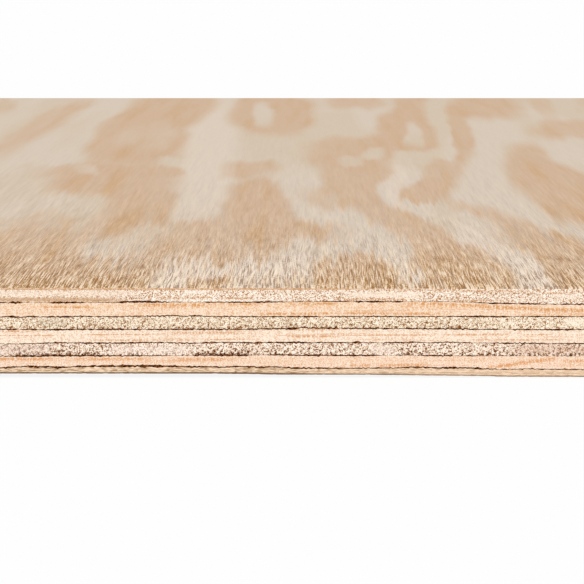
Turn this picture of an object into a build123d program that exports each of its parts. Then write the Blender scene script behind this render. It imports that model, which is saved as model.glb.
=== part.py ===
from build123d import *
import os

# Softwood plywood sheet, 1220 x 2440 x 18 mm, laid up from seven rotary-cut veneers.
#
# Frame: X runs across the sheet, Y along the sheet and along the grain of both faces, and Z up.
# The origin is the middle of the underside, so the sheet lies flat on Z = 0. Millimetres.
#
# The grain of each veneer runs at right angles to the grain of the next one, so that a sawn edge
# shows end grain and long grain by turns. Between each two veneers lies a film of dark resin
# glue, the glue line. Veneers and glue lines are sawn together, so all are flush at the four edges.

# The sheet as it is sold
sheet_width = 1220.0
sheet_length = 2440.0

# Veneers whose grain runs along Y: the two outer ones and the centers
face_veneer_thickness = 3.0
upper_center_thickness = 2.45
lower_center_thickness = 2.5
back_veneer_thickness = 1.45

# Veneers whose grain runs along X
upper_crossband_thickness = 2.6
middle_crossband_thickness = 2.55
lower_crossband_thickness = 2.55

# Cured resin between two veneers
glue_line_thickness = 0.15

# The veneers from the underside up, as they are stacked in the press
lay_up = [
    ("back_veneer", back_veneer_thickness),
    ("lower_crossband", lower_crossband_thickness),
    ("lower_center", lower_center_thickness),
    ("middle_crossband", middle_crossband_thickness),
    ("upper_center", upper_center_thickness),
    ("upper_crossband", upper_crossband_thickness),
    ("face_veneer", face_veneer_thickness),
]


def sawn_outline():
    """The rectangle that the saws cut through the whole stack."""
    return Rectangle(sheet_width, sheet_length)


def layer(underside, thickness):
    """One veneer or glue line of the full sheet size, starting at the height underside."""
    return extrude(Plane.XY.offset(underside) * sawn_outline(), amount=thickness)


def plywood_sheet():
    """Every layer by name. Each one lies face to face on the one before it."""
    layers = {}
    height = 0.0
    for below, (veneer, thickness) in enumerate(lay_up):
        if below > 0:
            # Glue lines are counted from the face down
            glue_line = f"glue_line_{len(lay_up) - below}"
            layers[glue_line] = layer(height, glue_line_thickness)
            height += glue_line_thickness
        layers[veneer] = layer(height, thickness)
        height += thickness
    return layers


os.makedirs("parts", exist_ok=True)
for name, solid in plywood_sheet().items():
    export_step(solid, f"parts/{name}.step")
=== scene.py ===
import functools
import math

import bmesh
import bpy
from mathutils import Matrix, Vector, noise


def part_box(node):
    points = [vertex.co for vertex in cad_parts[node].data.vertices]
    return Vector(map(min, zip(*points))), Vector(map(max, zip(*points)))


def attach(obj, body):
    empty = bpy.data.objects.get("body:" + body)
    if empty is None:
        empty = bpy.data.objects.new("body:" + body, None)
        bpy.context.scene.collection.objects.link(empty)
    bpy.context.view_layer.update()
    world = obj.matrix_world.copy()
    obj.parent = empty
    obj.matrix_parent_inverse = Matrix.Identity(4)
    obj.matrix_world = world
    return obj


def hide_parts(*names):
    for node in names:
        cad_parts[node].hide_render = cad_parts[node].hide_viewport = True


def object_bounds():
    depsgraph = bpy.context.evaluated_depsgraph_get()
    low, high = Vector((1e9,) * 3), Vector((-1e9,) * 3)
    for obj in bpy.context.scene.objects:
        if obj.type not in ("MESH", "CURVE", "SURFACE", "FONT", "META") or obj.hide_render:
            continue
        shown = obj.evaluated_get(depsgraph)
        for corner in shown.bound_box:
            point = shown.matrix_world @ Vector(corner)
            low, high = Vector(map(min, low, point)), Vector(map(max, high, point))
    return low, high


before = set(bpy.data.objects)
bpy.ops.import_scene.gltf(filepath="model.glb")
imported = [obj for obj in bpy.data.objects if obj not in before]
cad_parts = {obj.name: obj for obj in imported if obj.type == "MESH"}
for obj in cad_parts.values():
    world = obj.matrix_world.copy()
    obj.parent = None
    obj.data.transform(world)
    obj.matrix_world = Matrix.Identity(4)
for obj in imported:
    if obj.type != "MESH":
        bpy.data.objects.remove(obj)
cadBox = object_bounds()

mm = 0.001
low, high = cadBox
sheetWidth, sheetLength, sheetThickness = high - low
frontY = low.y
scene = bpy.context.scene

# The sheet in the photo's own 584 x 584 pixels
photo = {
    "size": 584,
    "horizonRow": -65.0,       # the grain lines of the face meet here
    "grainColumn": 305.0,      # and in this column, which is x = 0 on the sheet
    "farEndRow": 98.0,
    "nearEndRow": 287.7,
    "undersideRow": 377.2,
}

# From here the front end is as many pixels thick as in the photo, and the face ends where it does
rowsToFar = photo["farEndRow"] - photo["horizonRow"]
rowsToNear = photo["nearEndRow"] - photo["horizonRow"]
cameraDistance = sheetLength * rowsToFar / (rowsToNear - rowsToFar)
pixelsPerMetre = (photo["undersideRow"] - photo["nearEndRow"]) / sheetThickness
focalPixels = pixelsPerMetre * cameraDistance


def onEnd(column, row):        # a pixel of the photo on the front end, as x and z
    return (column - photo["grainColumn"]) / pixelsPerMetre, (photo["undersideRow"] - row) / pixelsPerMetre


def onFace(column, row):       # a pixel of the photo on the face, as mm across and mm back
    shrink = (row - photo["horizonRow"]) / rowsToNear
    across = (column - photo["grainColumn"]) / (pixelsPerMetre * shrink)
    return across / mm, cameraDistance * (1 / shrink - 1) / mm


def columnAt(x):               # the photo's column for a place on the front end
    return photo["grainColumn"] + x * pixelsPerMetre


margin = 6                     # pixels beyond the picture's left and right edge
viewLeft, viewRight = onEnd(-margin, 0)[0], onEnd(photo["size"] + margin, 0)[0]


def makeCamera():
    centre = photo["size"] / 2
    pitch = math.atan((centre - photo["horizonRow"]) / focalPixels)
    turn = math.atan((photo["grainColumn"] - centre) / focalPixels)
    belowHorizon = pitch + math.atan((photo["nearEndRow"] - centre) / focalPixels)
    data = bpy.data.cameras.new("photoCamera")
    data.sensor_width = 36
    data.lens = focalPixels * data.sensor_width / photo["size"]
    data.clip_end = 50
    camera = bpy.data.objects.new("photoCamera", data)
    camera.location = (0, frontY - cameraDistance, high.z + cameraDistance * math.tan(belowHorizon))
    camera.rotation_euler = (math.pi / 2 - pitch, 0, turn)
    scene.collection.objects.link(camera)
    scene.camera = camera
    print("camera: lens", round(data.lens), "mm, distance", round(cameraDistance, 3), "m")


makeCamera()


def put(tree, kind, inputs=None, **settings):       # one node, with values set and sockets linked
    node = tree.nodes.new("ShaderNode" + kind)
    for name, value in settings.items():
        setattr(node, name, value)
    for name, value in (inputs or {}).items():
        if isinstance(value, bpy.types.NodeSocket):
            tree.links.new(value, node.inputs[name])
        else:
            node.inputs[name].default_value = value
    return node


def calc(tree, operation, *values, clamp=False):
    return put(tree, "Math", dict(enumerate(values)), operation=operation, use_clamp=clamp).outputs[0]


def times(tree, product, *factors):
    for factor in factors:
        product = calc(tree, "MULTIPLY", product, factor)
    return product


def plus(tree, total, *terms):
    for term in terms:
        total = calc(tree, "ADD", total, term)
    return total


def ramp(tree, value, start, end, first=0.0, last=1.0):
    inputs = {"Value": value, "From Min": start, "From Max": end, "To Min": first, "To Max": last}
    return put(tree, "MapRange", inputs, interpolation_type="SMOOTHSTEP").outputs[0]


def around(tree, value, spread):       # noise about 0 with a given spread
    return times(tree, calc(tree, "SUBTRACT", value, 0.5), spread)


def combine(tree, x, y, z):
    return put(tree, "CombineXYZ", {"X": x, "Y": y, "Z": z}).outputs[0]


def stretched(tree, position, across, along, up, shift=0.0):       # cells of the given sizes in mm
    scale = (1 / (across * mm), 1 / (along * mm), 1 / (up * mm))
    inputs = {"Vector": position, "Location": (shift, shift * 1.7, shift * 2.3), "Scale": scale}
    return put(tree, "Mapping", inputs).outputs[0]


def grainNoise(tree, vector, detail=2.0, roughness=0.5, distortion=0.0):
    inputs = {"Vector": vector, "Scale": 1.0, "Detail": detail, "Roughness": roughness,
              "Distortion": distortion}
    return put(tree, "TexNoise", inputs).outputs[0]


def blend(tree, factor, first, second):
    return put(tree, "Mix", {0: factor, 6: first, 7: second}, data_type="RGBA").outputs[2]


def shade(*colour):            # red, green and blue as they look on screen, 0 to 255
    return tuple(((c / 255 + 0.055) / 1.055) ** 2.4 for c in colour) + (1.0,)


def colours(tree, value, stops):
    node = put(tree, "ValToRGB", {"Fac": value})
    elements = node.color_ramp.elements
    while len(elements) < len(stops):
        elements.new(0.5)
    for element, (place, colour) in zip(elements, stops):
        element.position = place
        element.color = shade(*colour)
    return node.outputs[0]


def newGroup(name, inputs, outputs):
    kinds = {"f": "NodeSocketFloat", "v": "NodeSocketVector"}
    tree = bpy.data.node_groups.new(name, "ShaderNodeTree")
    for socket, kind in inputs.items():
        tree.interface.new_socket(name=socket, in_out="INPUT", socket_type=kinds[kind])
    for socket in outputs:
        tree.interface.new_socket(name=socket, in_out="OUTPUT", socket_type="NodeSocketFloat")
    return tree, tree.nodes.new("NodeGroupInput").outputs, tree.nodes.new("NodeGroupOutput").inputs


def useGroup(tree, group, *values):    # in the order of the group's inputs
    return put(tree, "Group", dict(enumerate(values)), node_tree=group).outputs


# Effects that several materials share


def patchGroup():              # one rounded patch of the figure, in mm on the face
    sizes = ("Centre Across", "Centre Along", "Half Width", "Half Length", "Lean", "Softness", "Weight")
    tree, given, out = newGroup("figurePatch", dict.fromkeys(("Across", "Along") + sizes, "f"), ("Mask",))
    back = calc(tree, "SUBTRACT", given["Along"], given["Centre Along"])
    aside = calc(tree, "SUBTRACT", given["Across"], given["Centre Across"])
    aside = calc(tree, "SUBTRACT", aside, times(tree, given["Lean"], back))
    power = 2.8                # between an ellipse and a box
    terms = [calc(tree, "POWER", calc(tree, "ABSOLUTE", calc(tree, "DIVIDE", part, given[size])), power)
             for part, size in ((aside, "Half Width"), (back, "Half Length"))]
    reach = calc(tree, "POWER", plus(tree, *terms), 1 / power)
    outer = plus(tree, 1.0, given["Softness"])
    inner = calc(tree, "SUBTRACT", 1.0, given["Softness"])
    tree.links.new(times(tree, ramp(tree, reach, outer, inner), given["Weight"]), out["Mask"])
    return tree


def ringGroup():               # contour bands of the growth rings, as a knife peels them
    tree, given, out = newGroup("peeledRings", {"Vector": "v", "Rings": "f", "Tan Share": "f"}, ("Tan",))
    field = grainNoise(tree, given["Vector"], 1.6, 0.42, 0.15)
    bands = calc(tree, "PINGPONG", times(tree, field, given["Rings"]), 0.5)
    over = calc(tree, "SUBTRACT", times(tree, given["Tan Share"], 0.5), bands)
    tree.links.new(ramp(tree, over, -0.15, 0.15), out["Tan"])
    return tree


napFibres = {                  # mm across and along, shift, detail of the noise, how strong
    "thin": (0.27, 46, 0.0, 1.0, 5.5),
    "thick": (0.6, 75, 3.0, 1.0, 1.6),
    "flecks": (0.26, 7, 7.0, 0.0, 1.9),
    "tufts": (0.9, 110, 5.0, 1.0, 3.0),
}


def napGroup():                # short raised fibres, thin across and long along Y
    tree, given, out = newGroup("fibreNap", {"Position": "v", "Seed": "f"}, ("Fibres", "Tufts"))
    drift = around(tree, grainNoise(tree, stretched(tree, given["Position"], 14, 160, 11), 1.0), 1.2 * mm)
    move = combine(tree, drift, 0.0, given["Seed"])
    moved = put(tree, "VectorMath", {0: given["Position"], 1: move}).outputs[0]
    nap = {}
    for name, (across, along, shift, detail, strength) in napFibres.items():
        cells = stretched(tree, moved, across, along, 20, shift)
        nap[name] = around(tree, grainNoise(tree, cells, detail), strength)
    tree.links.new(plus(tree, nap["thin"], nap["thick"], nap["flecks"]), out["Fibres"])
    tree.links.new(nap["tufts"], out["Tufts"])
    return tree


def endGrainGroup():           # cut fibre ends: fluff, pores and torn pits, with painted shade in the pits
    inputs = {"Position": "v", "Pit": "f", "Level Scale": "f", "Upright Scale": "f", "Lift": "f"}
    tree, given, out = newGroup("endGrain", inputs, ("Tone", "Height"))
    level, upright = given["Level Scale"], given["Upright Scale"]
    scale = combine(tree, level, level, upright)
    cell = put(tree, "VectorMath", {0: given["Position"], 1: scale}, operation="MULTIPLY").outputs[0]
    coarse = grainNoise(tree, stretched(tree, cell, 0.55, 0.55, 0.45), 1.0, 0.5, 0.5)
    fine = grainNoise(tree, stretched(tree, cell, 0.22, 0.22, 0.21, 3.0), 1.0, 0.6)
    tone = plus(tree, around(tree, coarse, 0.75), around(tree, fine, 1.42))
    tone = plus(tree, tone, plus(tree, 0.5, given["Lift"]))
    # Pits are painted darker: painted shade in the torn pits
    tree.links.new(calc(tree, "SUBTRACT", tone, times(tree, given["Pit"], 0.35)), out["Tone"])
    tree.links.new(plus(tree, fine, coarse), out["Height"])
    return tree


def longGrainGroup():          # rings seen from the side as bands, with faint saw and ray marks across them
    inputs = dict.fromkeys(("Along", "Up", "Seed"), "f")
    tree, given, out = newGroup("longGrain", inputs, ("Bands", "Marks", "Specks"))

    def cells(up, alongSize, upSize):
        along = times(tree, given["Along"], 1 / alongSize)
        return combine(tree, along, times(tree, up, 1 / upSize), given["Seed"])

    wave = grainNoise(tree, cells(given["Up"], 45, 2.2), 1.0)
    lifted = plus(tree, given["Up"], around(tree, wave, 2.2))
    tree.links.new(grainNoise(tree, cells(lifted, 20, 0.34), 1.5), out["Bands"])
    tree.links.new(grainNoise(tree, cells(given["Up"], 0.27, 1.5), 1.0), out["Marks"])
    tree.links.new(grainNoise(tree, cells(given["Up"], 0.26, 0.24), 1.0), out["Specks"])
    return tree


def bandGroup():               # one band of late wood, from one point to another along a sawn end
    names = ("Along", "Up", "Start", "End", "Start Up", "End Up", "Half Height")
    tree, given, out = newGroup("lateWoodBand", dict.fromkeys(names, "f"), ("Mask",))
    run = calc(tree, "SUBTRACT", given["End"], given["Start"])
    part = calc(tree, "DIVIDE", calc(tree, "SUBTRACT", given["Along"], given["Start"]), run)
    middle = put(tree, "MapRange", {"Value": part, "To Min": given["Start Up"], "To Max": given["End Up"]},
                 interpolation_type="SMOOTHSTEP").outputs[0]
    off = calc(tree, "ABSOLUTE", calc(tree, "SUBTRACT", given["Up"], middle))
    body = ramp(tree, calc(tree, "DIVIDE", off, given["Half Height"]), 1.6, 0.2)
    fades = times(tree, ramp(tree, part, 0.0, 0.2), ramp(tree, part, 1.0, 0.8))
    tree.links.new(times(tree, body, fades), out["Mask"])
    return tree


figurePatch = patchGroup()
peeledRings = ringGroup()
fibreNap = napGroup()
endGrain = endGrainGroup()
longGrain = longGrainGroup()
lateWoodBand = bandGroup()


def newMaterial(name, roughness):
    material = bpy.data.materials.new(name)
    material.use_nodes = True
    tree = material.node_tree
    shader = tree.nodes["Principled BSDF"]
    shader.inputs["Roughness"].default_value = roughness
    shader.inputs["Specular IOR Level"].default_value = 0.0
    position = tree.nodes.new("ShaderNodeTexCoord").outputs["Object"]
    return material, tree, shader, position


def finishMaterial(tree, shader, colour, height, distance):
    bump = put(tree, "Bump", {"Height": height, "Distance": distance})
    tree.links.new(colour, shader.inputs["Base Color"])
    tree.links.new(bump.outputs[0], shader.inputs["Normal"])


# The figure of the face as the photo shows it. Each patch has its left, right, top and bottom in
# pixels, how many columns its top stands to the right of its foot, and how strong it is
tanPatches = {
    "leftCorner": (-14, 15, 94, 113, 0, 0.5),
    "leftBand": (-36, 108, 98, 160, 100, 0.68),
    "archTop": (110, 224, 92, 130, 26, 0.8),
    "archBody": (86, 196, 112, 162, 12, 0.8),
    "archLeg": (78, 160, 148, 176, 8, 0.6),
    "stepDash": (158, 182, 164, 177, 0, 0.7),
    "step": (38, 178, 164, 200, 8, 0.85),
    "stepWisp": (18, 110, 164, 180, 0, 0.45),
    "stepTongue": (98, 181, 190, 228, 6, 0.8),
    "leftMiddle": (-20, 132, 214, 240, 8, 0.5),
    "leftLow": (-40, 92, 234, 270, 16, 0.7),
    "leftHaze": (-60, 180, 226, 300, 30, 0.4),
    "leftStreaks": (-60, 160, 255, 312, 16, 0.95),
    "wideBand": (160, 342, 219, 242, 0, 0.9),
    "wideBandFoot": (128, 300, 232, 264, 30, 0.75),
    "frontMiddle": (182, 228, 277, 300, 0, 0.8),
    "frontMiddleEnd": (236, 312, 282, 300, 0, 0.6),
    "ring": (230, 316, 92, 136, 0, 0.85),
    "smallDash": (222, 280, 161, 178, 0, 0.75),
    "square": (224, 292, 179, 226, -2, 0.95),
    "squareShoulder": (218, 292, 198, 230, 0, 0.85),
    "topDash": (322, 384, 88, 110, 0, 0.75),
    "islandTop": (386, 430, 90, 126, 8, 0.8),
    "island": (370, 440, 112, 162, -8, 0.85),
    "islandWest": (300, 396, 138, 166, 0, 0.8),
    "islandFoot": (322, 392, 158, 192, 0, 0.8),
    "islandTail": (302, 392, 184, 207, -6, 0.6),
    "belowPath": (331, 485, 196, 258, -90, 0.8),
    "belowPathEnd": (412, 474, 230, 268, -20, 0.7),
    "outerTop": (442, 524, 92, 119, -4, 0.8),
    "outerSide": (443, 478, 108, 160, -14, 0.8),
    "outerFoot": (408, 474, 148, 196, 24, 0.75),
    "outerEnd": (400, 448, 180, 204, 0, 0.9),
    "pathRight": (428, 590, 202, 257, -104, 0.75),
    "rightTop": (500, 560, 144, 194, -12, 0.85),
    "rightBig": (508, 618, 162, 225, -40, 0.9),
    "rightDash": (530, 612, 119, 139, 0, 0.7),
    "rightDiagonal": (520, 562, 92, 118, -20, 0.55),
    "farRight": (572, 606, 90, 112, 0, 0.5),
    "rightStreaks": (532, 620, 238, 312, -24, 0.9),
    "frontRight": (314, 404, 256, 312, -4, 0.95),
    "frontFarRight": (390, 520, 246, 312, -14, 0.8),
}
paleSpots = {
    "archHollow": (118, 184, 120, 150, 8, 0.25),
    "stepSpot": (72, 97, 165, 177, 0, 0.5),
    "stepNotch": (156, 186, 157, 166, 0, 0.7),
    "ringSpot": (253, 274, 104, 127, 0, 0.85),
    "islandSpot": (403, 419, 124, 147, 0, 0.8),
    "islandDash": (362, 384, 149, 159, 0, 0.7),
    "islandDashWest": (338, 362, 156, 165, 0, 0.7),
    "leftPale": (78, 146, 234, 262, 14, 0.32),
    "pathTop": (427, 443, 88, 122, -2, 0.8),
    "pathBend": (430, 457, 112, 154, -14, 0.85),
    "pathCross": (424, 458, 147, 158, 0, 0.85),
    "pathCrossWest": (396, 434, 153, 165, 0, 0.85),
    "pathFoot": (386, 419, 156, 192, 12, 0.9),
    "pathTurn": (376, 404, 184, 208, -6, 0.9),
    "pathLow": (394, 472, 202, 220, -30, 0.9),
    "pathEnd": (448, 514, 212, 240, -32, 0.7),
    "whiteTuft": (394, 420, 266, 284, -4, 0.9),
    "whiteStreak": (506, 566, 254, 300, -30, 0.95),
}
whiteAreas = {                 # where the fluff is whitest
    "fluff": (132, 320, 256, 296, 22, 1.0),
    "channel": (180, 236, 96, 222, 4, 0.45),
    "path": (384, 410, 164, 212, -6, 0.6),
    "tuft": (394, 420, 266, 284, -4, 1.0),
    "streak": (506, 566, 254, 300, -30, 0.9),
    "rightLow": (446, 520, 226, 262, -30, 0.5),
}
faceLook = {
    "pale": (216, 201, 184),
    "creamy": (213, 196, 175),
    "white": (226, 209, 192),
    "tan": (210, 181, 154),
    "orange": (206, 171, 135),
    "golden": (202, 160, 109),     # tan wood close to the front end
    # The next two are painted light: shade in the gaps between raised fibres, highlight on their lit tops
    "fibreGapShade": (138, 90, 42),
    "fibreTopHighlight": (255, 236, 212),
    "acrossCell": 60.0,        # mm, size of the figure elsewhere on the sheet
    "alongCell": 1400.0,
    "rings": 4.6,
    "tanShare": 0.46,
    "shareSpread": 1.3,        # how much that share varies over the sheet
    "laidFade": 40.0,          # mm, over which the patches above give way to it
    "patchSoft": 11,           # columns, over which a patch, a spot and a white area fade out
    "spotSoft": 10,
    "whiteSoft": 12,
    "wanderAcross": 8.0,       # mm, how far the outlines wander, and how far fibres comb them
    "wanderAlong": 220.0,
    "teethAlong": 420.0,
    "napReach": 182.0,         # mm, over which the nap lies down behind the front end
    "tuftReach": 560.0,
    "napRest": 0.02,           # what is left of it on the rest of the sheet
    "tuftStrength": 0.44,
    "fibreRange": 0.72,        # noise from here on is all painted gap shade or all painted lit-top highlight
    "endOrange": 0.5,          # how much the tan turns to these at the front end
    "endGolden": 0.75,
}


def laidFigure(tree, across, along, patches, softColumns):
    clear = 1.0
    for left, right, top, bottom, lean, weight in patches.values():
        middleRow = (top + bottom) / 2
        nearX, nearBack = onFace((left + right - lean) / 2, bottom)
        farX, farBack = onFace((left + right + lean) / 2, top)
        width = onFace(right - abs(lean) / 2, middleRow)[0] - onFace(left + abs(lean) / 2, middleRow)[0]
        softness = min(0.5, softColumns / min((right - left - abs(lean)) / 2, bottom - top))
        patch = useGroup(tree, figurePatch, across, along, (nearX + farX) / 2, (nearBack + farBack) / 2,
                         width / 2, (farBack - nearBack) / 2, (farX - nearX) / (farBack - nearBack),
                         softness, weight)["Mask"]
        clear = times(tree, clear, calc(tree, "SUBTRACT", 1.0, patch))
    return calc(tree, "SUBTRACT", 1.0, clear)


def veneerFace(name, look, laid, seed, crosswise=False):
    material, tree, shader, position = newMaterial(name, 0.85)
    if crosswise:              # grain across the sheet
        turned = {"Vector": position, "Rotation": (0, 0, math.pi / 2)}
        position = put(tree, "Mapping", turned).outputs[0]
    parts = put(tree, "SeparateXYZ", {"Vector": position}).outputs
    across = times(tree, parts["X"], 1 / mm)
    along = times(tree, calc(tree, "SUBTRACT", parts["Y"], frontY), 1 / mm)
    nap = useGroup(tree, fibreNap, position, seed)
    standing, tufting = (calc(tree, "POWER", math.e, calc(tree, "DIVIDE", along, -look[reach]))
                         for reach in ("napReach", "tuftReach"))

    def streaks(acrossCell, alongCell, shift, detail, upCell=100):     # noise drawn out along the grain
        cells = stretched(tree, position, acrossCell, alongCell, upCell, seed + shift)
        return grainNoise(tree, cells, detail)

    movedAcross = plus(tree, across, around(tree, streaks(16, 330, 8, 1.5), look["wanderAcross"]))
    teeth = times(tree, around(tree, streaks(0.9, 260, 13, 1.0), look["teethAlong"]), tufting)
    wander = around(tree, streaks(8, 420, 3, 1.5), look["wanderAlong"])
    movedAlong = plus(tree, along, plus(tree, wander, teeth))
    ringCells = combine(tree, times(tree, movedAcross, 1 / look["acrossCell"]),
                        times(tree, movedAlong, 1 / look["alongCell"]), seed)
    zones = around(tree, streaks(130, 1200, 11, 1.0, 1000), look["shareSpread"])
    tanShare = plus(tree, look["tanShare"], zones)
    figure = useGroup(tree, peeledRings, ringCells, look["rings"], tanShare)["Tan"]
    if laid:
        laidTan = laidFigure(tree, movedAcross, movedAlong, tanPatches, look["patchSoft"])
        spots = laidFigure(tree, movedAcross, movedAlong, paleSpots, look["spotSoft"])
        laidTan = times(tree, laidTan, calc(tree, "SUBTRACT", 1.0, spots))
        # The photo sees more of the width the farther back it looks
        widening = plus(tree, 1.0, times(tree, along, mm / cameraDistance))
        seenWidth = times(tree, widening, -viewLeft / mm)
        beyond = calc(tree, "SUBTRACT", calc(tree, "ABSOLUTE", across), seenWidth)
        inside = ramp(tree, beyond, look["laidFade"], 0.0)
        figure = put(tree, "Mix", {0: inside, 2: figure, 3: laidTan}, data_type="FLOAT").outputs[0]

    # Near the front end fibres comb the outlines of the figure, farther back they are soft
    blotches = around(tree, streaks(4.2, 220, 2, 2.0, 50), 0.8)
    blotches = times(tree, blotches, ramp(tree, tufting, 0.0, 0.4, 0.3, 1.0))
    combed = plus(tree, times(tree, nap["Fibres"], standing, 0.4), times(tree, nap["Tufts"], tufting, 0.6))
    tan = ramp(tree, plus(tree, figure, plus(tree, combed, blotches)), 0.02, 0.98)

    slow = ramp(tree, streaks(20, 900, 5, 1.5), 0.42, 0.62)
    pale = blend(tree, slow, shade(*look["pale"]), shade(*look["creamy"]))
    whiteness = times(tree, tufting, 0.3)
    if laid:
        white = laidFigure(tree, movedAcross, movedAlong, whiteAreas, look["whiteSoft"])
        whiteness = calc(tree, "ADD", times(tree, white, inside), whiteness, clamp=True)
    pale = blend(tree, whiteness, pale, shade(*look["white"]))
    warmth = ramp(tree, streaks(6, 420, 8, 2.0), 0.44, 0.70)
    warmth = times(tree, warmth, ramp(tree, tufting, 0.0, 0.35, 0.6, 1.0))
    warmth = calc(tree, "ADD", warmth, times(tree, standing, look["endOrange"]), clamp=True)
    tanColour = blend(tree, warmth, shade(*look["tan"]), shade(*look["orange"]))
    nearEnd = calc(tree, "POWER", standing, 2.0)
    tanColour = blend(tree, times(tree, nearEnd, look["endGolden"]), tanColour, shade(*look["golden"]))
    colour = blend(tree, tan, pale, tanColour)

    # Painted shade in the gaps between raised fibres and a painted highlight on their lit tops: the shade
    # shows more on tan wood, the highlight more on pale wood
    upright = times(tree, nap["Fibres"], plus(tree, standing, look["napRest"]))
    fibres = plus(tree, upright, times(tree, nap["Tufts"], tufting, look["tuftStrength"]))
    gaps = calc(tree, "DIVIDE", fibres, -look["fibreRange"], clamp=True)
    tops = calc(tree, "DIVIDE", fibres, look["fibreRange"], clamp=True)
    dark = times(tree, gaps, ramp(tree, tan, 0.0, 1.0, 0.66, 0.82))
    light = times(tree, tops, ramp(tree, tan, 0.0, 1.0, 1.0, 0.76))
    colour = blend(tree, dark, colour, shade(*look["fibreGapShade"]))
    colour = blend(tree, light, colour, shade(*look["fibreTopHighlight"]))
    tree.links.new(colour, shader.inputs["Base Color"])
    return material
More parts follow.
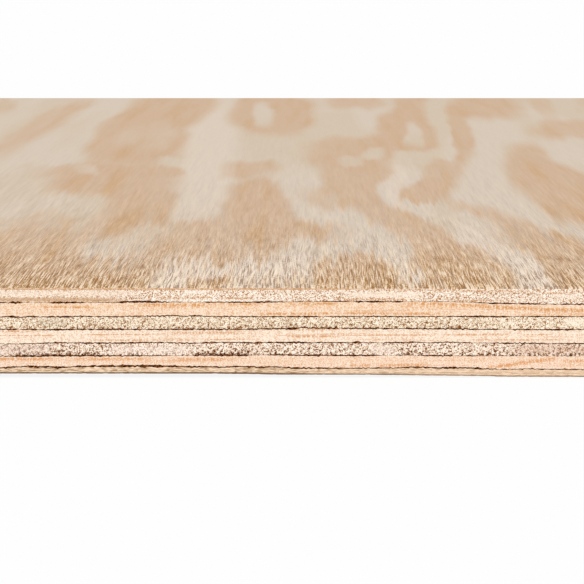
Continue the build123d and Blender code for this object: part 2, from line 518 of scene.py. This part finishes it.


# Sawn edges: colours of each veneer where its grain is cut across, and where it is cut along.
# Bands are late wood: start and end column, their rows in the photo, half the band's height in rows.
# Tints are local stains, and on the back veneer's lower edge painted shade: the same numbers, then a colour
# and how strong it is.
# Torn parts are where more pits stand at the veneer's foot: start and end column, strength
crossbandEnd = {               # all three crossbands show end grain on the long edges alone
    "dark": (150, 112, 78), "mid": (222, 194, 164), "light": (243, 222, 198), "bright": (255, 245, 228),
    "scale": (1.0, 1.0), "lift": 0.02, "foot": 0.3, "pits": 0.25, "torn": []}
veneerLooks = {
    "face_veneer": {
        "end": {"dark": (168, 112, 66), "mid": (217, 187, 158), "light": (238, 217, 195),
                "bright": (255, 245, 231), "scale": (1.0, 1.0), "lift": 0.02, "foot": 0.1, "pits": 0.12,
                "torn": []},
        "long": {"base": (240, 213, 184), "late": (200, 150, 102), "pale": (250, 230, 208)},
        "bands": [(-40, 420, 289.0, 289.0, 0.9), (370, 545, 289.4, 291.4, 1.0), (530, 620, 293.6, 290.6, 0.8),
                  (150, 215, 298.2, 297.8, 1.2), (215, 256, 298.4, 298.2, 1.2),
                  (330, 414, 299.4, 299.2, 1.2), (440, 520, 300.2, 301.0, 1.0)],
        "tints": [(-60, 150, 293.6, 293.4, 3.0, (247, 226, 205), 0.62),
                  (-80, 146, 299.6, 299.8, 2.2, (198, 156, 114), 0.75),
                  (-80, 430, 289.2, 289.2, 0.9, (204, 154, 102), 0.6),
                  (340, 430, 294.6, 294.6, 2.8, (252, 234, 214), 0.7),
                  (180, 210, 292.4, 292.2, 2.0, (255, 244, 230), 0.6),
                  (548, 584, 295.6, 296.0, 2.6, (252, 236, 218), 0.5),
                  (110, 300, 300.4, 300.2, 1.1, (255, 250, 240), 0.4)],
    },
    "upper_crossband": {
        "end": crossbandEnd,
        "long": {"base": (243, 216, 190), "late": (216, 154, 94), "pale": (253, 235, 214)},
        "bands": [(130, 218, 305.2, 305.0, 1.9), (225, 262, 304.4, 304.2, 1.3), (250, 345, 314.0, 313.4, 1.3),
                  (330, 450, 313.4, 313.8, 1.2), (286, 340, 303.6, 303.6, 1.3), (398, 500, 303.0, 306.0, 1.6),
                  (470, 560, 306.4, 309.8, 1.9), (530, 620, 309.4, 311.2, 1.8), (36, 100, 307.0, 307.4, 0.9)],
        "tints": [(21, 29, 304.6, 310.6, 1.2, (208, 150, 104), 0.5),
                  (84, 92, 304.8, 311.6, 1.3, (208, 150, 104), 0.5),
                  (-60, 640, 306.0, 306.0, 3.0, (240, 200, 160), 0.4)],
    },
    "upper_center": {
        "end": {"dark": (140, 92, 46), "mid": (214, 185, 150), "light": (240, 218, 191),
                "bright": (255, 245, 226), "scale": (1.2, 1.2), "lift": 0.02, "foot": 0.6, "pits": 0.18,
                "torn": [(80, 130, 0.9), (160, 292, 0.95), (292, 470, 0.8)]},
        "long": {"base": (240, 212, 182), "late": (212, 164, 116), "pale": (252, 230, 208)},
        "bands": [],
        "tints": [(34, 70, 321.6, 323.4, 4.6, (186, 170, 146), 0.28),
                  (562, 590, 322.0, 322.0, 4.5, (255, 240, 220), 0.55)],
    },
    "middle_crossband": {
        "end": crossbandEnd,
        "long": {"base": (246, 227, 206), "late": (214, 158, 110), "pale": (255, 241, 224)},
        "bands": [(-40, 44, 331.5, 331.4, 0.9), (-40, 70, 335.8, 335.6, 0.5), (76, 156, 334.9, 334.7, 0.5),
                  (90, 156, 340.4, 340.2, 0.8), (160, 248, 332.9, 332.9, 0.7), (144, 200, 340.2, 340.0, 0.5),
                  (200, 256, 339.4, 339.2, 0.5), (284, 344, 336.8, 336.3, 0.9), (325, 446, 335.3, 335.0, 0.6),
                  (286, 346, 329.9, 329.8, 0.6), (436, 516, 334.8, 334.6, 0.9), (520, 552, 334.8, 334.6, 0.6),
                  (462, 580, 340.0, 339.8, 0.5)],
        "tints": [],
    },
    "lower_center": {
        "end": {"dark": (112, 66, 30), "mid": (206, 172, 140), "light": (239, 215, 193),
                "bright": (255, 244, 230), "scale": (1.05, 1.05), "lift": 0.03, "foot": 0.45, "pits": 0.26,
                "torn": [(14, 94, 1.15), (94, 140, 0.7), (200, 248, 1.3), (270, 292, 0.9), (396, 424, 1.1),
                         (424, 476, 0.6), (476, 600, 0.9)]},
        "long": {"base": (240, 210, 184), "late": (206, 158, 116), "pale": (252, 230, 210)},
        "bands": [],
        "tints": [(-40, 60, 349.4, 349.4, 5.0, (226, 200, 186), 0.4),
                  (100, 200, 349.6, 349.6, 4.6, (250, 231, 218), 0.45),
                  (366, 398, 349.4, 349.4, 4.4, (252, 234, 220), 0.5),
                  (500, 640, 349.6, 349.6, 5.0, (206, 164, 138), 0.4)],
    },
    "lower_crossband": {
        "end": crossbandEnd,
        "long": {"base": (243, 218, 196), "late": (220, 160, 108), "pale": (254, 236, 218)},
        "bands": [(-40, 60, 359.4, 359.2, 1.5), (68, 156, 359.2, 359.2, 1.4), (168, 238, 359.6, 359.4, 1.8),
                  (348, 372, 365.6, 365.4, 1.6), (372, 432, 365.8, 365.4, 1.8), (484, 536, 367.0, 362.6, 1.8),
                  (512, 560, 363.4, 359.0, 1.9), (560, 600, 361.4, 360.6, 1.5)],
        "tints": [(-60, 640, 360.0, 360.0, 3.0, (240, 203, 168), 0.4)],
    },
    "back_veneer": {
        "end": {"dark": (178, 144, 108), "mid": (212, 183, 152), "light": (227, 200, 170),
                "bright": (246, 222, 194), "scale": (0.16, 1.15), "lift": 0.0, "foot": 0.2, "pits": 0.08,
                "torn": []},
        "long": {"base": (224, 197, 167), "late": (140, 104, 70), "pale": (238, 212, 184)},
        "bands": [(-60, 330, 370.8, 371.0, 0.25), (300, 640, 372.6, 373.4, 0.25)],
        "tints": [(290, 800, 372.6, 373.6, 3.2, (240, 212, 184), 0.6),
                  # The dark tints from here on are painted shade along the lower edge, which faces down
                  # towards the floor
                  (-200, 330, 373.1, 373.2, 0.9, (104, 76, 52), 1.0),
                  (180, 330, 373.1, 374.4, 0.8, (110, 80, 56), 0.8),
                  (250, 420, 374.3, 374.4, 0.9, (116, 86, 60), 0.8),
                  (370, 520, 374.4, 375.9, 0.8, (124, 94, 68), 0.7),
                  (460, 800, 376.4, 376.7, 0.9, (124, 94, 68), 0.7)],
    },
}


def bandMask(tree, along, up, startColumn, endColumn, startRow, endRow, halfRows):
    (start, startUp), (end, endUp) = onEnd(startColumn, startRow), onEnd(endColumn, endRow)
    return useGroup(tree, lateWoodBand, along, up, start / mm, end / mm, startUp / mm, endUp / mm,
                    halfRows / pixelsPerMetre / mm)["Mask"]


def laidBands(tree, position, colour, looks, breaks):
    # Late wood, stains and painted shade where the photo shows them, on the front end alone
    parts = put(tree, "SeparateXYZ", {"Vector": position}).outputs
    along, up = (times(tree, parts[axis], 1 / mm) for axis in ("X", "Z"))
    here = ramp(tree, parts["Y"], frontY + 3 * mm, frontY + 1 * mm)
    for *place, tint, strength in looks["tints"]:
        mask = times(tree, bandMask(tree, along, up, *place), here, strength)
        colour = blend(tree, mask, colour, shade(*tint))
    mask = None
    for place in looks["bands"]:
        band = bandMask(tree, along, up, *place)
        mask = band if mask is None else calc(tree, "MAXIMUM", mask, band)
    if mask is None:
        return colour
    return blend(tree, times(tree, mask, here, breaks), colour, shade(*looks["long"]["late"]))


def endGrainMaterial(name, looks, seed, laid):
    look = looks["end"]
    material, tree, shader, position = newMaterial(name, 0.9)
    # Where the end grain gets painted shade in its pits
    pit = put(tree, "Attribute", attribute_name="pit").outputs["Fac"]
    shifted = put(tree, "VectorMath", {0: position, 1: (0, 0, seed * 0.04)}).outputs[0]
    cut = useGroup(tree, endGrain, shifted, pit, *look["scale"], look["lift"])
    colour = colours(tree, cut["Tone"], [(0.31, look["dark"]), (0.42, look["mid"]), (0.53, look["light"]),
                                         (0.66, look["bright"])])
    if laid:
        colour = laidBands(tree, position, colour, looks, ramp(tree, cut["Tone"], 0.62, 0.40, 0.2, 0.85))
    finishMaterial(tree, shader, colour, cut["Height"], 0.03 * mm)
    return material


def longGrainMaterial(name, looks, axis, seed, laid):
    look = looks["long"]
    material, tree, shader, position = newMaterial(name, 0.8)
    parts = put(tree, "SeparateXYZ", {"Vector": position}).outputs
    along, up = (times(tree, parts[a], 1 / mm) for a in (axis, "Z"))
    cut = useGroup(tree, longGrain, along, up, seed * 3.1)
    late = ramp(tree, cut["Bands"], 0.44, 0.30, 0.0, 0.45)
    colour = blend(tree, late, shade(*look["base"]), shade(*look["late"]))
    if laid:
        colour = laidBands(tree, position, colour, looks, ramp(tree, cut["Marks"], 0.62, 0.42, 0.55, 1.0))
    marks = plus(tree, around(tree, cut["Marks"], 0.9), around(tree, cut["Specks"], 2.8))
    colour = blend(tree, ramp(tree, marks, 0.0, -0.5, 0.0, 0.6), colour, shade(*look["late"]))
    colour = blend(tree, ramp(tree, marks, 0.0, 0.5, 0.0, 0.75), colour, shade(*look["pale"]))
    finishMaterial(tree, shader, colour, marks, 0.02 * mm)
    return material


def glueMaterial():
    material, tree, shader, position = newMaterial("darkGlue", 0.6)
    clumps = grainNoise(tree, stretched(tree, position, 0.4, 0.4, 0.4), 2.0)
    colour = colours(tree, clumps, [(0.36, (38, 17, 6)), (0.5, (76, 38, 15)), (0.66, (146, 90, 46))])
    finishMaterial(tree, shader, colour, clumps, 0.04 * mm)
    return material


# Glue lines on the front end: column, row and thickness in rows, read off the photo
glueRoutes = {
    1: [(0, 302.6, 1.3), (19, 302.6, 1.2), (25, 302.5, 0.2), (46, 302.6, 0.3), (54, 302.6, 1.7),
        (68, 302.6, 2.0), (79, 302.5, 1.2), (86, 302.4, 0.4), (97, 302.4, 0.6), (115, 302.4, 0.8),
        (128, 301.9, 1.6), (138, 301.6, 2.1), (150, 301.8, 1.6), (166, 302.1, 0.7), (186, 302.1, 0.3),
        (203, 302.2, 0.2), (208, 302.2, 1.1), (250, 302.2, 1.2), (281, 301.9, 0.9), (287, 301.8, 0.2),
        (300, 301.7, 0.6), (326, 301.5, 0.7), (346, 301.4, 0.8), (352, 301.5, 0.2), (358, 301.6, 1.3),
        (400, 301.7, 1.0), (405, 301.5, 0.2), (440, 301.6, 0.4), (455, 301.8, 0.4), (474, 302.4, 0.5),
        (492, 303.3, 1.2), (520, 303.7, 1.4), (545, 304.1, 0.6), (567, 304.2, 1.1), (584, 304.3, 0.9)],
    2: [(0, 317.0, 1.0), (10, 316.6, 1.6), (20, 317.2, 0.9), (30, 316.6, 1.3), (41, 317.0, 0.7),
        (50, 316.8, 1.5), (70, 316.8, 1.2), (80, 316.3, 1.0), (100, 316.6, 0.8), (146, 316.2, 0.9),
        (160, 316.0, 1.1), (175, 315.5, 1.1), (184, 316.4, 0.9), (196, 315.7, 1.1), (206, 316.5, 0.8),
        (292, 316.6, 1.0), (314, 316.6, 1.4), (322, 316.6, 0.3), (334, 316.6, 0.9), (368, 316.5, 1.0),
        (438, 316.6, 0.8), (476, 316.5, 1.4), (505, 316.6, 1.1), (512, 316.6, 0.3), (524, 316.6, 0.9),
        (552, 316.6, 1.0), (584, 316.6, 0.6)],
    3: [(0, 329.4, 0.9), (15, 329.5, 1.0), (18, 329.5, 0.2), (24, 329.6, 1.2), (45, 329.8, 0.8),
        (60, 329.7, 1.1), (90, 329.5, 1.2), (146, 329.5, 1.1), (200, 329.5, 1.2), (238, 329.4, 1.2),
        (270, 328.9, 1.0), (294, 328.7, 1.7), (300, 328.0, 0.6), (330, 328.3, 1.2), (360, 328.7, 0.9),
        (400, 328.7, 1.0), (450, 328.9, 1.0), (480, 329.4, 0.9), (497, 329.6, 0.9), (500, 329.6, 0.2),
        (511, 329.6, 0.2), (515, 329.6, 1.1), (560, 329.7, 1.2), (584, 329.7, 1.2)],
    4: [(0, 344.0, 0.6), (24, 343.9, 0.6), (40, 343.4, 0.8), (56, 342.8, 1.1), (85, 343.1, 1.0),
        (120, 343.1, 1.1), (146, 342.6, 1.2), (160, 342.6, 1.0), (192, 343.3, 0.9), (212, 342.6, 1.1),
        (243, 342.5, 1.0), (248, 342.8, 1.3), (253, 343.1, 2.1), (258, 342.7, 1.2), (290, 342.5, 1.3),
        (300, 342.5, 1.7), (306, 342.7, 1.0), (350, 342.7, 0.9), (357, 342.3, 1.5), (364, 342.5, 1.0),
        (380, 342.8, 0.5), (395, 342.6, 1.1), (418, 342.2, 1.1), (426, 342.8, 0.6), (450, 342.3, 1.1),
        (470, 342.8, 0.9), (474, 342.9, 0.3), (500, 343.1, 0.8), (506, 343.5, 2.1), (512, 343.3, 1.1),
        (541, 343.4, 0.9), (547, 343.5, 0.3), (560, 343.5, 0.8), (584, 343.6, 0.9)],
    5: [(0, 356.4, 0.9), (35, 356.3, 1.4), (50, 355.9, 1.4), (80, 355.8, 1.3), (120, 355.9, 1.0),
        (146, 355.8, 0.9), (166, 355.7, 0.9), (170, 355.7, 0.2), (192, 355.6, 0.2), (196, 355.5, 1.2),
        (246, 355.5, 1.3), (250, 355.5, 0.2), (268, 355.2, 0.2), (272, 355.0, 1.1), (305, 355.4, 1.2),
        (340, 355.5, 1.2), (365, 355.6, 1.4), (378, 355.5, 0.9), (382, 355.5, 0.2), (421, 355.8, 0.2),
        (424, 355.8, 0.9), (450, 355.7, 1.2), (454, 355.8, 0.3), (468, 355.9, 0.3), (471, 355.9, 1.1),
        (477, 355.9, 0.2), (565, 356.1, 0.2), (570, 356.1, 0.9), (575, 356.1, 0.2), (584, 356.1, 0.2)],
    6: [(0, 367.9, 1.5), (14, 367.2, 1.2), (18, 366.8, 0.4), (25, 366.5, 1.9), (36, 366.8, 1.9),
        (45, 367.1, 1.4), (49, 366.8, 1.0), (56, 367.6, 1.8), (64, 367.4, 1.2), (74, 366.6, 1.0),
        (82, 366.6, 1.6), (100, 366.2, 1.7), (146, 366.1, 2.0), (172, 366.4, 1.7), (198, 366.9, 1.3),
        (208, 366.7, 1.1), (222, 367.3, 1.2), (236, 366.6, 1.1), (250, 366.8, 1.6), (260, 367.4, 1.6),
        (270, 366.8, 0.9), (284, 367.4, 1.1), (294, 368.2, 1.4), (355, 368.3, 0.9), (398, 368.0, 0.8),
        (412, 367.3, 1.1), (424, 367.4, 1.2), (438, 368.1, 1.1), (452, 367.8, 1.5), (472, 368.1, 1.6),
        (484, 368.9, 1.1), (506, 369.5, 0.9), (530, 368.9, 0.7), (545, 369.4, 0.7), (560, 369.4, 1.0),
        (584, 369.5, 0.9)],
}
# The foot and the head of the front end, and how they wander
undersideRoute = [(0, 373.7), (211, 373.8), (240, 374.1), (280, 374.8), (366, 374.9), (390, 375.2),
                  (438, 375.8), (489, 376.2), (500, 376.9), (584, 377.1)]
faceRoute = [(0, 288.0), (260, 288.1), (400, 288.5), (470, 289.0), (584, 289.1)]
gluePace = {                   # mm
    "wander": 0.11, "wanderCell": 13.0,
    "jag": 0.18, "jagCell": 0.5,
    "thinnest": 0.025, "thickness": 0.21,
    "least": 0.7, "swell": 1.3, "uneven": 0.9,     # shares of that thickness
    "swellCell": 5.0, "unevenCell": 1.1,
    "photoBlend": 90.0,        # over which a glue line leaves the photo's route
    "bleed": 1.15,             # how much thicker than its dark core a line is
}
edgeWear = {                   # mm
    "chip": 0.16, "chipCell": 1.1,         # lower edge
    "worn": 0.03, "wornCell": 20,
    "tear": 0.09, "tearCell": 0.8,         # upper edge
    "whole": 0.1,              # noise up to here takes nothing away
}


def routeAt(route, column, item):
    if column <= route[0][0]:
        return route[0][item]
    for before, after in zip(route, route[1:]):
        if column <= after[0]:
            part = (column - before[0]) / (after[0] - before[0])
            part = part * part * (3 - 2 * part)
            return before[item] + (after[item] - before[item]) * part
    return route[-1][item]


def inPhoto(x, y):             # 1 on the photo's part of the front end, 0 away from it
    if y > frontY + 5 * mm:
        return 0.0
    outside = max(viewLeft - x, x - viewRight, 0.0) / (gluePace["photoBlend"] * mm)
    return 0.5 + 0.5 * math.cos(math.pi * min(outside, 1.0))


def rough(x, y, z, cell):      # noise with a cell size in mm, -1 to 1
    return noise.noise(Vector((x, y, z)) / (cell * mm))


@functools.lru_cache(maxsize=None)
def glueLine(number, x, y):    # bottom and top of a glue line at a place on the outline
    bottom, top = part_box(f"glue_line_{number}")
    seed = number * 37 * mm
    middle = (bottom.z + top.z) / 2 + gluePace["wander"] * mm * rough(x, y, seed, gluePace["wanderCell"])
    swell = gluePace["least"] + gluePace["swell"] * rough(x, y, seed * 3, gluePace["swellCell"])
    thick = gluePace["thickness"] * mm * swell
    shown = inPhoto(x, y)
    if shown > 0:
        route, column = glueRoutes[number], columnAt(x)
        middle += (onEnd(0, routeAt(route, column, 1))[1] - middle) * shown
        thick += (routeAt(route, column, 2) * gluePace["bleed"] / pixelsPerMetre - thick) * shown
    middle += gluePace["jag"] * mm * rough(x, y, seed * 2, gluePace["jagCell"])
    thick *= 1 + gluePace["uneven"] * rough(x, y, seed * 4, gluePace["unevenCell"])
    half = max(thick, gluePace["thinnest"] * mm) / 2
    return middle - half, middle + half


def undersideLift(x, y):       # where the photo shows the sheet a little thinner
    return onEnd(0, routeAt(undersideRoute, columnAt(x), 1))[1] * inPhoto(x, y)


@functools.lru_cache(maxsize=None)
def undersideLine(x, y):       # chipped lower edge
    chip = max(0.0, rough(x, y, 0.9, edgeWear["chipCell"]) - edgeWear["whole"]) * edgeWear["chip"] * mm
    worn = edgeWear["worn"] * mm * (1 + rough(x, y, 0.4, edgeWear["wornCell"]))
    return low.z + max(undersideLift(x, y), worn) + chip


@functools.lru_cache(maxsize=None)
def faceLine(x, y):            # the upper edge, a little worn, with a few fibres torn out
    worn = (high.z - onEnd(0, routeAt(faceRoute, columnAt(x), 1))[1]) * inPhoto(x, y)
    tear = max(0.0, rough(x, y, 0.2, edgeWear["tearCell"]) - edgeWear["whole"]) * edgeWear["tear"] * mm
    return high.z - worn - tear


# From the underside up, with the glue line above each veneer and whether it is cut across at the ends
layUp = [("back_veneer", 6, True), ("lower_crossband", 5, False), ("lower_center", 4, True),
         ("middle_crossband", 3, False), ("upper_center", 2, True), ("upper_crossband", 1, False),
         ("face_veneer", 0, True)]
edgeMesh = {                   # mm
    "viewStep": 0.22,          # between columns of vertices where the photo looks
    "frontStep": 1.3,
    "rearStep": 3.2,
    "sideStep": 3.4,
    "rim": 1.5,                # from the outline to the flat inside
    "wideRim": 60.0,           # a second ring on the back, over which it comes down to the floor
    "veneerRows": 10,
    "glueRows": 2,
}


def meshObject(name, bm):
    mesh = bpy.data.meshes.new(name)
    bm.to_mesh(mesh)
    bm.free()
    made = bpy.data.objects.new(name, mesh)
    scene.collection.objects.link(made)
    return made


def plateMesh(bottom, top, rims, rows):
    # A plate whose edges have many columns and rows, and whose flat sides have few faces
    bm = bmesh.new()
    bmesh.ops.create_grid(bm, x_segments=1, y_segments=1, size=0.5)
    bmesh.ops.scale(bm, vec=(sheetWidth, sheetLength, 1), verts=bm.verts)
    bmesh.ops.translate(bm, vec=(0, 0, bottom), verts=bm.verts)
    bm.faces.ensure_lookup_table()
    centre = bm.faces[0]
    for rim in rims:
        bmesh.ops.inset_region(bm, faces=[centre], thickness=rim * mm, use_boundary=True)
    for x in (viewLeft, viewRight):     # the front rims are cut where the photo begins and ends
        front = [f for f in bm.faces if f != centre and f.calc_center_median().y < 0
                 and abs(f.calc_center_median().x) < sheetWidth / 2.2
                 and min(v.co.x for v in f.verts) < x < max(v.co.x for v in f.verts)]
        geometry = set(front) | {e for f in front for e in f.edges} | {v for f in front for v in f.verts}
        bmesh.ops.bisect_plane(bm, geom=list(geometry), plane_co=(x, 0, 0), plane_no=(1, 0, 0))
    ladders = []
    for edge in [e for e in bm.edges if e.is_boundary]:
        a, b = (v.co for v in edge.verts)
        middle = (a + b) / 2
        if abs(middle.x) > sheetWidth / 2 - mm:
            step = edgeMesh["sideStep"]
        elif middle.y > 0:
            step = edgeMesh["rearStep"]
        elif viewLeft - mm < middle.x < viewRight + mm:
            step = edgeMesh["viewStep"]
        else:
            step = edgeMesh["frontStep"]
        ladder = [edge]        # the outline edge and those inside it, so that the rims stay four-sided
        face = edge.link_faces[0]
        while face != centre:
            across = next(e for e in face.edges if not set(e.verts) & set(ladder[-1].verts))
            ladder.append(across)
            face = next(f for f in across.link_faces if f != face)
        ladders.append((ladder, round((b - a).length / (step * mm)) - 1))
    for ladder, cuts in ladders:
        bmesh.ops.subdivide_edges(bm, edges=ladder, cuts=cuts, use_grid_fill=True)
    raised = bmesh.ops.extrude_face_region(bm, geom=bm.faces[:], use_keep_orig=True)
    lifted = [v for v in raised["geom"] if isinstance(v, bmesh.types.BMVert)]
    bmesh.ops.translate(bm, vec=(0, 0, top - bottom), verts=lifted)
    upright = [e for e in bm.edges if abs(e.verts[0].co.z - e.verts[1].co.z) > (top - bottom) / 2]
    bmesh.ops.subdivide_edges(bm, edges=upright, cuts=rows - 1, use_grid_fill=True)
    bmesh.ops.recalc_face_normals(bm, faces=bm.faces[:])
    return bm


sawnRelief = {                 # mm
    "glue": (0.05, 0.03, 1.2),         # how far in, how much that varies, over what length
    "longGrain": (0.02, 0.015, 4.0),
    "fluff": 0.03,             # of end grain
    "pitCell": 0.5,            # and its smallest pits
    "rarity": 0.42, "pitEdge": 0.3,        # noise where pits begin, and how much more is a full one
    "atFoot": 0.5,             # how much more there is of them at a veneer's foot
}


def footStrength(look, x, y):
    if inPhoto(x, y) > 0.5:
        for start, end, strength in look["torn"]:
            if start <= columnAt(x) < end:
                return strength
    return look["foot"]


def sawnDepth(look, x, y, z, part, spacing, seed):
    # How far in end grain lies, in m, and how much of a pit is there, which the shader paints as shade
    at = (x, y, z + seed * 11 * mm)
    cell = max(sawnRelief["pitCell"], spacing * 2.3)
    foot = footStrength(look, x, y) * (1 - part) ** 2
    over = rough(*at, cell) - sawnRelief["rarity"] + sawnRelief["atFoot"] * foot
    pit = max(0.0, min(1.0, over / sawnRelief["pitEdge"]))
    fluff = sawnRelief["fluff"] * (1 + rough(*at, cell * 0.6))
    faint = (sawnRelief["pitCell"] / cell) ** 0.6      # the painted shade of wide pits is fainter
    return (fluff + look["pits"] * pit) * mm, pit * faint


def sideOf(normal):            # 0 at the ends, 1 at the long edges, 2 on top, 3 underneath
    if abs(normal.y) > 0.5:
        return 0
    if abs(normal.x) > 0.5:
        return 1
    return 2 if normal.z > 0 else 3


def layerPiece(name, rows, lowLine, highLine, look=None, across=False, seed=0, wideRim=False):
    bottom, top = (corner.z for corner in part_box(name))
    rims = [edgeMesh["rim"]] + [edgeMesh["wideRim"]] * wideRim
    bm = plateMesh(bottom, top, rims, rows)
    pits = bm.verts.layers.float.new("pit")
    halfWidth, halfLength = sheetWidth / 2 - 0.01 * mm, sheetLength / 2 - 0.01 * mm
    for face in bm.faces:
        face.smooth = abs(face.normal.z) < 0.5
        face.material_index = sideOf(face.normal)
    for edge in bm.edges:
        edge.smooth = len({f.material_index for f in edge.link_faces}) < 2
    for vert in bm.verts:
        x, y, z = vert.co
        onSide, onFront = abs(x) > halfWidth, abs(y) > halfLength
        if not (onSide or onFront):
            if wideRim and z < (bottom + top) / 2:
                vert.co.z = bottom + undersideLift(x, y)
            continue
        part = (z - bottom) / (top - bottom)
        bottomHere, topHere = lowLine(x, y), highLine(x, y)
        height = bottomHere + part * (topHere - bottomHere)
        if onFront and y < 0:
            spacing = edgeMesh["viewStep" if viewLeft <= x <= viewRight else "frontStep"]
        else:
            spacing = edgeMesh["sideStep"]
        if look is not None and across == onFront:
            depth, pit = sawnDepth(look, x, y, height, part, spacing, seed)
        else:
            inward, spread, cell = sawnRelief["glue" if look is None else "longGrain"]
            depth, pit = (inward + spread * rough(x, y, height, cell)) * mm, 0.0
        vert[pits] = pit
        vert.co = (x - math.copysign(depth, x) * onSide, y - math.copysign(depth, y) * onFront, height)
    piece = meshObject(name + "_dressed", bm)
    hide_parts(name)
    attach(piece, "root")
    return piece


faceTop = veneerFace("peeledFace", faceLook, True, 1.0)
backLook = dict(faceLook, pale=(208, 190, 168), creamy=(200, 180, 154), tan=(192, 160, 126),
                orange=(184, 148, 108))
faceUnder = veneerFace("peeledBack", backLook, False, 31.0)
faceInside = veneerFace("peeledInside", backLook, False, 57.0, crosswise=True)
glue = glueMaterial()


def makeVeneers():
    glueBelow = None
    for seed, (name, glueAbove, across) in enumerate(layUp, 1):
        looks = veneerLooks[name]
        lowLine = undersideLine if glueBelow is None else (lambda x, y, n=glueBelow: glueLine(n, x, y)[1])
        highLine = faceLine if glueAbove == 0 else (lambda x, y, n=glueAbove: glueLine(n, x, y)[0])
        piece = layerPiece(name, edgeMesh["veneerRows"], lowLine, highLine, looks["end"], across, seed,
                           wideRim=glueBelow is None)
        cutAcross = endGrainMaterial(name + "EndGrain", looks, seed, laid=across)
        cutAlong = longGrainMaterial(name + "LongGrain", looks, "Y" if across else "X", seed, laid=not across)
        atEnds, atSides = (cutAcross, cutAlong) if across else (cutAlong, cutAcross)
        under = faceUnder if across else faceInside
        upper = faceTop if glueAbove == 0 else under
        for material in (atEnds, atSides, upper, under):
            piece.data.materials.append(material)
        glueBelow = glueAbove
        print("veneer:", name, len(piece.data.polygons), "faces")


def makeGlueLines():
    for number in range(1, 7):
        piece = layerPiece(f"glue_line_{number}", edgeMesh["glueRows"],
                           lambda x, y: glueLine(number, x, y)[0], lambda x, y: glueLine(number, x, y)[1])
        for _ in range(4):
            piece.data.materials.append(glue)
        print("glue line:", number, len(piece.data.polygons), "faces")


makeVeneers()
makeGlueLines()

# Studio: white floor, soft light from the front left, even light from all round
studio = {"sky": 0.66, "sun": 1.6, "sunSoftness": 40.0, "sunAngles": (48, 0, -38), "floorSize": 400.0,
          "floorGlow": 0.9, "floorPaint": 0.9,
          "floorDrop": 0.1}    # mm, so that the floor and the sheet's underside aren't one surface


def seenDirectly(tree):        # 1 for rays from the camera, or by way of gloss or glass
    rays = tree.nodes.new("ShaderNodeLightPath").outputs
    seen = calc(tree, "MAXIMUM", rays["Is Camera Ray"], rays["Is Glossy Ray"])
    return calc(tree, "MAXIMUM", seen, rays["Is Transmission Ray"])


def mixShaders(tree, output, share, first, second):
    mix = put(tree, "MixShader", {0: share, 1: first.outputs[0], 2: second.outputs[0]})
    put(tree, output, {"Surface": mix.outputs[0]})


def makeStudio():
    world = bpy.data.worlds.new("studio")
    scene.world = world
    world.use_nodes = True
    tree = world.node_tree
    tree.nodes.clear()
    white = put(tree, "Background", {"Color": (1, 1, 1, 1)})
    soft = put(tree, "Background", {"Color": (1, 1, 1, 1), "Strength": studio["sky"]})
    mixShaders(tree, "OutputWorld", seenDirectly(tree), soft, white)

    sun = bpy.data.lights.new("softSun", "SUN")
    sun.energy = studio["sun"]
    sun.angle = math.radians(studio["sunSoftness"])
    lamp = bpy.data.objects.new("softSun", sun)
    lamp.rotation_euler = [math.radians(a) for a in studio["sunAngles"]]
    scene.collection.objects.link(lamp)

    bm = bmesh.new()
    bmesh.ops.create_grid(bm, x_segments=1, y_segments=1, size=studio["floorSize"] / 2)
    bmesh.ops.translate(bm, vec=(0, 0, low.z - studio["floorDrop"] * mm), verts=bm.verts)
    floor = meshObject("floor", bm)
    material = bpy.data.materials.new("whiteFloor")
    material.use_nodes = True
    tree = material.node_tree
    tree.nodes.clear()
    paint = put(tree, "BsdfDiffuse", {"Color": (studio["floorPaint"],) * 3 + (1,)})
    glow = put(tree, "Emission", {"Color": (1, 1, 1, 1)})
    share = times(tree, seenDirectly(tree), studio["floorGlow"])
    mixShaders(tree, "OutputMaterial", share, paint, glow)
    floor.data.materials.append(material)


makeStudio()
scene.view_settings.view_transform = "Standard"
print("studio ready")
